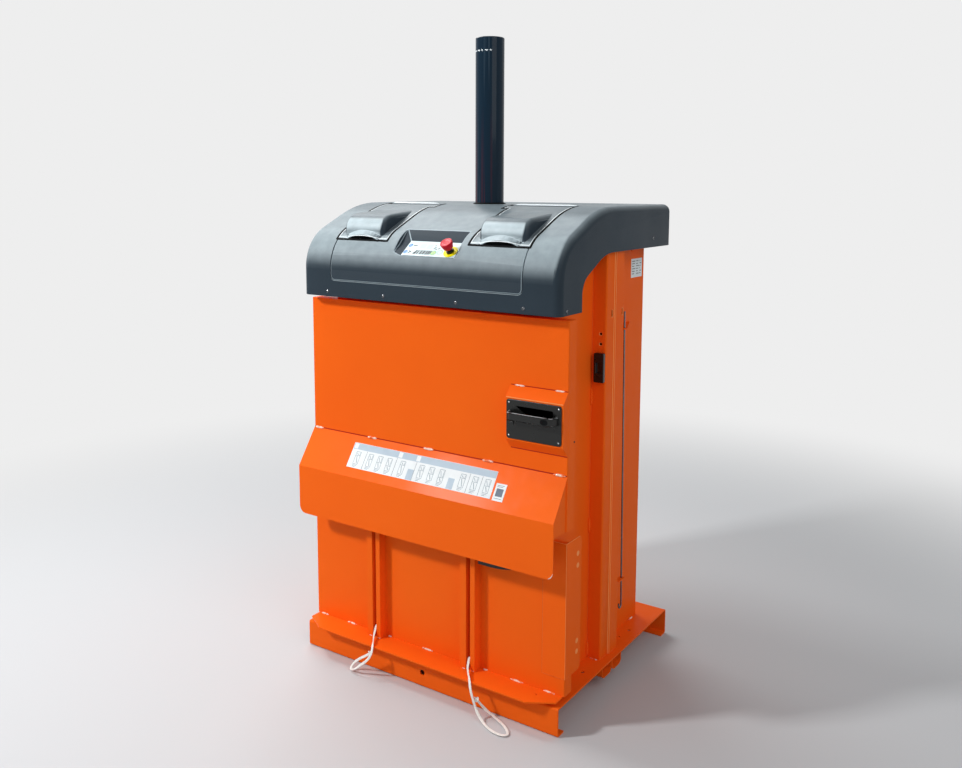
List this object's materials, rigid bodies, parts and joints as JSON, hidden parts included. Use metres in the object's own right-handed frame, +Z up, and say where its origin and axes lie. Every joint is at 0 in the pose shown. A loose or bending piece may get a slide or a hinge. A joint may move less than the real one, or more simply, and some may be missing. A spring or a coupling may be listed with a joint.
{
  "type": "recycling baler",
  "caption": "Upright press for cardboard and film: two front doors, a moulded hood with controls and strap reels, and a tall cylinder over the chamber.",
  "frame": {"origin": "on the floor, under the middle of the machine without its free straps", "axes": "+Z up, -Y to the front, where the doors are, and +X to the side with the upper door's pull"},
  "size_m": [0.95, 0.8366, 1.985],
  "materials": {
    "orange_paint": "satin",
    "steel_paint": "satin",
    "galvanised": "satin",
    "bright_steel": "polished",
    "cylinder_black": "gloss",
    "hood_plastic": "satin",
    "pull_plastic": "satin",
    "keypad_film": "satin",
    "label_film": "satin",
    "red_plastic": "gloss",
    "yellow_plastic": "satin",
    "black_plastic": "satin",
    "strap_fabric": "matt"
  },
  "bodies": {
    "frame": {"base_frame": "orange_paint", "base_runners": "orange_paint", "side_walls": "orange_paint", "back_wall": "orange_paint", "back_ribs": "orange_paint", "front_posts": "orange_paint", "sill_beam": "orange_paint", "floor_trays": "orange_paint", "top_deck": "orange_paint", "side_columns": "orange_paint", "strap_catch": "black_plastic", "upper_hinge_brackets": "orange_paint", "lower_hinge_brackets": "orange_paint", "door_keepers": "orange_paint", "crosshead": "orange_paint", "cylinder_flange": "orange_paint", "cylinder_bolts": "galvanised", "cylinder_barrel": "cylinder_black", "hood_shell": "hood_plastic", "hood_brackets": "orange_paint", "roof_cover": "hood_plastic", "console_cover": "hood_plastic", "lid_pins": "galvanised", "control_panel": "keypad_film", "estop_collar": "yellow_plastic", "estop_base": "black_plastic", "reel_stands": "orange_paint", "hydraulic_unit": "steel_paint", "valve_block": "steel_paint", "control_box": "steel_paint", "side_plate": "label_film", "tool_brackets": "orange_paint", "strap_tool": "galvanised"},
    "upper_door": {"upper_door_skin": "orange_paint", "upper_door_liner": "orange_paint", "deflector": "orange_paint", "instruction_label": "label_film", "small_label": "label_film", "handle_box": "orange_paint", "pull_plate": "pull_plastic", "upper_hinge_leaves": "orange_paint"},
    "lower_door": {"lower_door_skin": "orange_paint", "lower_door_liner": "orange_paint", "strap_channels": "orange_paint", "lower_shelf": "orange_paint", "wrap_plate": "orange_paint", "lower_hinge_blocks": "orange_paint", "lower_pull": "pull_plastic", "left_strap": "strap_fabric", "right_strap": "strap_fabric"},
    "press": {"piston_rod": "bright_steel", "platen": "orange_paint"},
    "lid_left": {"lid_left": "hood_plastic"},
    "lid_right": {"lid_right": "hood_plastic"},
    "reel_left": {"reel_left": "black_plastic", "coil_left": "strap_fabric"},
    "reel_right": {"reel_right": "black_plastic", "coil_right": "strap_fabric"},
    "estop_stem": {"estop_stem": "black_plastic"},
    "estop_head": {"estop_head": "red_plastic"}
  },
  "joints": [
    {"name": "upper_door_hinge", "type": "hinge", "parent": "frame", "child": "upper_door", "pos_m": [-0.45, -0.25, 0.9], "axis": [0, 0, 1], "range_deg": [-110, 0]},
    {"name": "lower_door_hinge", "type": "hinge", "parent": "frame", "child": "lower_door", "pos_m": [0.45, -0.25, 0.35], "axis": [0, 0, 1], "range_deg": [0, 110]},
    {"name": "press_slide", "type": "slide", "parent": "frame", "child": "press", "axis": [0, 0, 1], "range_m": [-0.64, 0]},
    {"name": "left_lid_hinge", "type": "hinge", "parent": "frame", "child": "lid_left", "pos_m": [-0.251, -0.065, 1.4523], "axis": [1, 0, 0], "range_deg": [-75, 0]},
    {"name": "right_lid_hinge", "type": "hinge", "parent": "frame", "child": "lid_right", "pos_m": [0.251, -0.065, 1.4523], "axis": [1, 0, 0], "range_deg": [-75, 0]},
    {"name": "left_reel_spin", "type": "hinge", "parent": "frame", "child": "reel_left", "pos_m": [-0.251, -0.195, 1.298], "axis": [1, 0, 0], "continuous": true},
    {"name": "right_reel_spin", "type": "hinge", "parent": "frame", "child": "reel_right", "pos_m": [0.251, -0.195, 1.298], "axis": [1, 0, 0], "continuous": true},
    {"name": "estop_push", "type": "slide", "parent": "frame", "child": "estop_stem", "axis": [0, 0.6112, -0.7915], "range_m": [0, 0.004]},
    {"name": "estop_twist", "type": "hinge", "parent": "estop_stem", "child": "estop_head", "pos_m": [0.091, -0.3283, 1.33606], "axis": [0, -0.6112, 0.7915], "range_deg": [0, 35], "stiffness_Nm_per_rad": 0.05}
  ]
}
